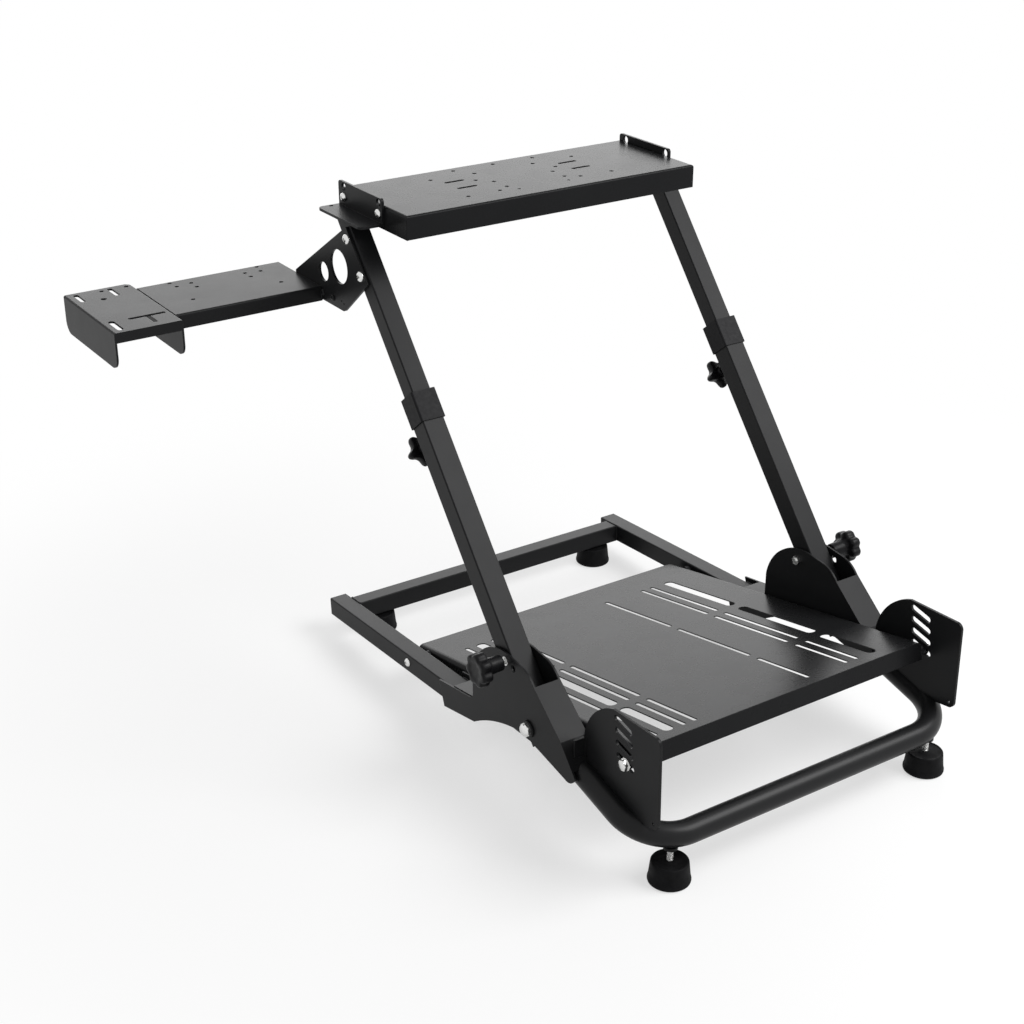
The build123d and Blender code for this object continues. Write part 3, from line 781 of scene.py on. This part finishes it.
def washer(name, face, normal, inner, outer, thick, edge=0.0003):
    """A flat ring on a face, its rim's edges taken off."""
    form = bmesh.new()
    rings(form, face, normal, ANY_WAY, round_outline, [
        (height, size, 0) for height, size in (
            (0.0, inner), (0.0, outer - edge), (edge, outer), (thick - edge, outer),
            (thick, outer - edge), (thick, inner + edge), (thick - edge, inner), (0.0, inner))],
        closed=False)
    bmesh.ops.remove_doubles(form, verts=form.verts, dist=0.00001)
    thing = link_form(name, form)
    sharpen(thing)
    return thing


def screw_thread(name, start, normal, radius, length):
    """A thread of the given length from a start, along a direction."""
    pitch = hardware().thread_pitch
    thing = run_tree(
        point_row(name, [(ORIGIN, UP, 0)]), bpy.data.node_groups[THREAD],
        Radius=radius, Pitch=pitch, Length=length, Ridge=pitch * 0.34,
        Finish=bpy.data.materials[FINISHES["bright_steel"]])
    across, up = square_frame(normal, Vector((0.3, 0.8, 0.2)))
    turn = Matrix((across, up, normal)).transposed().to_4x4()
    thing.data.transform(Matrix.Translation(start) @ turn)
    return thing


class WHEELSTAND_OT_pivot_bolts(bpy.types.Operator):
    """Makes the domed bolts that the legs fold about, each on a black washer"""

    bl_idname = "wheelstand.pivot_bolts"
    bl_label = "Pivot bolts"

    def execute(self, context):
        for hand, name in ((-1, "left"), (1, "right")):
            out = Vector((hand, 0, 0))
            face = on_leg(hand * CHEEK_FACE, 0, 0)
            form = bmesh.new()
            rings(form, face, out, UP_LEG, hex_outline, [
                (0.0026, 0.0192, 0.0110), (0.0029, 0.0196, 0.0), (0.0064, 0.0196, 0.0),
                (0.0070, 0.0196, 0.0110), (0.0076, 0.0196, 0.0104)])
            spun(form, face, out, [
                (0.0072, 0.0097), (0.0084, 0.0095), (0.0098, 0.0086), (0.0110, 0.0071),
                (0.0119, 0.0050), (0.0124, 0.0026), (0.0125, 0.0008)])
            spun(form, face, out, [(-0.0438, 0.0044), (-0.0432, 0.0050), (0.0030, 0.0050)])
            bolt = link_form(name + "_pivot", form)
            sharpen(bolt, 28)
            set_on(bolt, "floor_frame", "bright_steel", name + "_pivot_bolt")
            ring = washer(name + "_pivot_washer", face, out, 0.0052, 0.0125, 0.0025)
            set_on(ring, "floor_frame", "powder_coat")
        return {"FINISHED"}


class WHEELSTAND_OT_height_grips(bpy.types.Operator):
    """Makes the grips, screws and welded nuts that clamp the telescoping legs"""

    bl_idname = "wheelstand.height_grips"
    bl_label = "Height grips"

    def execute(self, context):
        radius = hardware().height_grip_radius
        out = BACK_OF_LEG
        for hand, name in ((-1, "left"), (1, "right")):
            base = on_leg(hand * LEG_X, HEIGHT_SCREW_ALONG, 40.0)
            start = (ACROSS * math.cos(math.radians(23))
                     - UP_LEG * math.sin(math.radians(23)))
            form = bmesh.new()
            rings(form, base, out, start, grip_outline, [
                (0.0, 0.0086, 0.0), (-0.0001, 0.0092, 0.2), (0.0, radius * 0.88, 1.0),
                (0.0006, radius * 0.95, 1.0), (0.0022, radius * 0.99, 1.0),
                (0.0060, radius, 1.0), (0.0100, radius * 0.985, 1.0),
                (0.0126, radius * 0.94, 0.98), (0.0142, radius * 0.85, 0.92),
                (0.0149, radius * 0.70, 0.75), (0.0150, radius * 0.45, 0.3),
                (0.0150, 0.0070, 0.0), (0.0144, 0.0060, 0.0), (0.0143, 0.0020, 0.0)])
            spun(form, base, out, [
                (-0.0078, 0.0076), (-0.0072, 0.0084), (-0.0064, 0.0088), (0.0001, 0.0090)])
            grip = link_form(name + "_height_grip", form)
            sharpen(grip, 38)
            set_on(grip, name + "_height_screw", "knob_plastic", name + "_height_knob")
            tip = on_leg(hand * LEG_X, HEIGHT_SCREW_ALONG, 15.4)
            form = bmesh.new()
            spun(form, tip, out, [
                (0, 0.0030), (0.0008, THREAD_RADIUS), (0.0176, THREAD_RADIUS)])
            shank = link_form(name + "_height_shank", form)
            sharpen(shank)
            set_on(shank, name + "_height_screw", "bright_steel")
            ridge = screw_thread(
                name + "_height_thread", tip + out * 0.001, out, THREAD_RADIUS, 0.0160)
            set_on(ridge, name + "_height_screw", "bright_steel")
            seat = on_leg(hand * LEG_X, HEIGHT_SCREW_ALONG, 17.5)
            nut = washer(name + "_height_nut", seat, out, 0.0045, 0.0104, 0.0066, 0.0007)
            set_on(nut, "lower_legs", "powder_coat")
        return {"FINISHED"}


FRONT_FEET = (("left_front", -235.5, 4.0), ("right_front", 235.5, 4.0))
REAR_FEET = (("left_rear", -220.7, 809.3), ("right_rear", 220.7, 809.3))


class WHEELSTAND_OT_feet(bpy.types.Operator):
    """Makes the rubber feet, and the threads and bosses of the front ones"""

    bl_idname = "wheelstand.feet"
    bl_label = "Feet"

    def execute(self, context):
        for name, x, y in FRONT_FEET + REAR_FEET:
            form = bmesh.new()
            rings(form, at(x, y, 0), UP, ACROSS, round_outline, [
                (height / 1000, radius / 1000, 0) for height, radius in (
                    (0.9, 9.0), (0.7, 19.0), (0.0, 20.5), (0.0, 26.6), (0.35, 28.2),
                    (1.3, 29.3), (2.6, 29.7), (4.6, 29.7), (5.2, 29.3), (5.6, 28.95),
                    (16.0, 27.75), (28.6, 26.45), (30.6, 26.1), (31.7, 25.3), (32.0, 24.2),
                    (31.9, 23.4), (31.3, 22.7), (31.15, 21.5), (31.2, 12.0), (31.6, 10.9),
                    (32.0, 9.8), (32.0, 4.3), (31.0, 4.05), (10.0, 4.05))])
            pad = link_form(name + "_pad", form)
            sharpen(pad, 42)
            set_on(pad, "floor_frame", "foot_rubber", name + "_foot")
        self.studs()
        return {"FINISHED"}

    def studs(self):
        under = FRONT_TUBE_Z - 17.6
        for name, x, y in FRONT_FEET:
            form = bmesh.new()
            spun(form, at(x, y, under - 1.6), UP, [
                (0.0, 0.0090), (0.0003, 0.0098), (0.0008, 0.0101), (0.0036, 0.0101),
                (0.0048, 0.0096)])
            boss = link_form(name + "_boss", form)
            sharpen(boss)
            set_on(boss, "floor_frame", "powder_coat")
            ridge = screw_thread(name + "_thread", at(x, y, 32.4), UP, 0.0039, 0.0180)
            set_on(ridge, "floor_frame", "bright_steel")


def soft_lamp(name, power, size, place_at, aim):
    data = bpy.data.lights.new(name, "AREA")
    data.shape = "RECTANGLE"
    data.size, data.size_y = size
    data.energy = power
    lamp = add_object(name, data)
    lamp.location = place_at
    lamp.rotation_euler = (Vector(aim) - Vector(place_at)).to_track_quat("-Z", "Y").to_euler()
    lamp.visible_camera = False


def seen_directly(tree):
    """One for camera, glossy and transmission rays."""
    path = tree.nodes.new("ShaderNodeLightPath")
    total = path.outputs["Is Camera Ray"]
    for label in ("Is Glossy Ray", "Is Transmission Ray"):
        total = maths(tree, "MAXIMUM", total, path.outputs[label])
    return total


class WHEELSTAND_OT_stage(bpy.types.Operator):
    """Makes the floor, the soft light and the camera of the photograph"""

    bl_idname = "wheelstand.stage"
    bl_label = "Stage"

    def execute(self, context):
        stage = context.scene.wheel_stand_stage
        self.floor(stage)
        self.world(stage)
        aim = at(0, 450, 300)
        soft_lamp("back light", stage.back_power, (3.8, 2.2), (1.6, 2.8, 1.25),
                  (0.15, -0.1, 0.6))
        soft_lamp("front light", stage.front_power, (2.0, 1.35), (1.54, -1.52, 2.3), aim)
        self.camera()
        context.scene.view_settings.view_transform = "Standard"
        return {"FINISHED"}

    def floor(self, stage):
        mesh = bpy.data.meshes.new("floor")
        floor = add_object("floor", mesh)
        form = bmesh.new()
        bmesh.ops.create_grid(form, x_segments=1, y_segments=1, size=14)
        form.to_mesh(mesh)
        form.free()
        floor.location.z = -0.0004
        material, tree, shader = new_material("pale floor")
        cloud = noise(tree, 1.1, 3)
        tree.links.new(
            tint(tree, cloud, (0.91, 0.91, 0.91), (0.93, 0.93, 0.93)),
            shader.inputs["Base Color"])
        shader.inputs["Roughness"].default_value = 0.9
        shader.inputs["Specular IOR Level"].default_value = 0.1
        far = tree.nodes.new("ShaderNodeVectorMath")
        far.operation = "DISTANCE"
        far.inputs[1].default_value = (MID_X, -0.05, 0)
        tree.links.new(place(tree), far.inputs[0])
        fade = tree.nodes.new("ShaderNodeMapRange")
        fade.interpolation_type = "SMOOTHSTEP"
        fade.inputs["From Min"].default_value = stage.near_floor
        fade.inputs["From Max"].default_value = stage.far_floor
        fade.inputs["To Min"].default_value = stage.floor_white
        tree.links.new(far.outputs["Value"], fade.inputs["Value"])
        share = maths(tree, "MULTIPLY", fade.outputs["Result"], seen_directly(tree))
        white = tree.nodes.new("ShaderNodeEmission")
        white.inputs["Color"].default_value = (1, 1, 1, 1)
        white.inputs["Strength"].default_value = 1.0
        blend = tree.nodes.new("ShaderNodeMixShader")
        out = next(node for node in tree.nodes if node.type == "OUTPUT_MATERIAL")
        tree.links.new(share, blend.inputs["Fac"])
        tree.links.new(shader.outputs["BSDF"], blend.inputs[1])
        tree.links.new(white.outputs[0], blend.inputs[2])
        tree.links.new(blend.outputs[0], out.inputs["Surface"])
        mesh.materials.append(material)

    def world(self, stage):
        world = bpy.data.worlds.new("soft studio")
        world.use_nodes = True
        world.cycles.sampling_method = "NONE"
        bpy.context.scene.world = world
        air = world.node_tree
        air.nodes.clear()
        out = air.nodes.new("ShaderNodeOutputWorld")
        blend = air.nodes.new("ShaderNodeMixShader")
        plain = air.nodes.new("ShaderNodeBackground")
        plain.inputs["Color"].default_value = (1, 1, 1, 1)
        plain.inputs["Strength"].default_value = stage.world_level
        white = air.nodes.new("ShaderNodeBackground")
        white.inputs["Color"].default_value = (1, 1, 1, 1)
        white.inputs["Strength"].default_value = 1.0
        air.links.new(seen_directly(air), blend.inputs["Fac"])
        air.links.new(plain.outputs[0], blend.inputs[1])
        air.links.new(white.outputs[0], blend.inputs[2])
        air.links.new(blend.outputs[0], out.inputs["Surface"])

    def camera(self):
        lens = bpy.data.cameras.new("photograph")
        lens.sensor_width = FILM
        lens.lens = FOCAL_PX * FILM / PHOTO_PX
        lens.clip_start = 0.05
        lens.clip_end = 60
        camera = add_object("photograph", lens)
        camera.location = at(-1448.88, -1451.92, 1453.14)
        camera.rotation_euler = (math.radians(90 - ELEVATION), 0, math.radians(AZIMUTH))
        bpy.context.scene.camera = camera


class WHEELSTAND_PT_panel(bpy.types.Panel):
    """The sizes, finishes and steps of the stand"""

    bl_idname = "WHEELSTAND_PT_panel"
    bl_label = "Wheel Stand"
    bl_space_type = "VIEW_3D"
    bl_region_type = "UI"
    bl_category = "Wheel Stand"

    def draw(self, context):
        look = context.scene.wheel_stand_finish
        parts = context.scene.wheel_stand_hardware
        stage = context.scene.wheel_stand_stage
        for group in (look, parts, stage):
            for name in group.__annotations__:
                self.layout.prop(group, name)
        for step in STEPS:
            self.layout.operator(step.bl_idname)


STEPS = (
    WHEELSTAND_OT_finishes, WHEELSTAND_OT_screws, WHEELSTAND_OT_threads_and_beads,
    WHEELSTAND_OT_pivot_bolts, WHEELSTAND_OT_fold_grips, WHEELSTAND_OT_height_grips,
    WHEELSTAND_OT_feet, WHEELSTAND_OT_stage,
)
CLASSES = (StandFinish, StandHardware, StageSetup, *STEPS, WHEELSTAND_PT_panel)


def register():
    for kind in CLASSES:
        bpy.utils.register_class(kind)
    bpy.types.Scene.wheel_stand_finish = bpy.props.PointerProperty(type=StandFinish)
    bpy.types.Scene.wheel_stand_hardware = bpy.props.PointerProperty(type=StandHardware)
    bpy.types.Scene.wheel_stand_stage = bpy.props.PointerProperty(type=StageSetup)


def unregister():
    del bpy.types.Scene.wheel_stand_stage
    del bpy.types.Scene.wheel_stand_hardware
    del bpy.types.Scene.wheel_stand_finish
    for kind in reversed(CLASSES):
        bpy.utils.unregister_class(kind)


def main():
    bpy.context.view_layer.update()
    register()
    for step in STEPS:
        group, name = step.bl_idname.split(".")
        getattr(getattr(bpy.ops, group), name)()


if __name__ == "__main__":
    main()
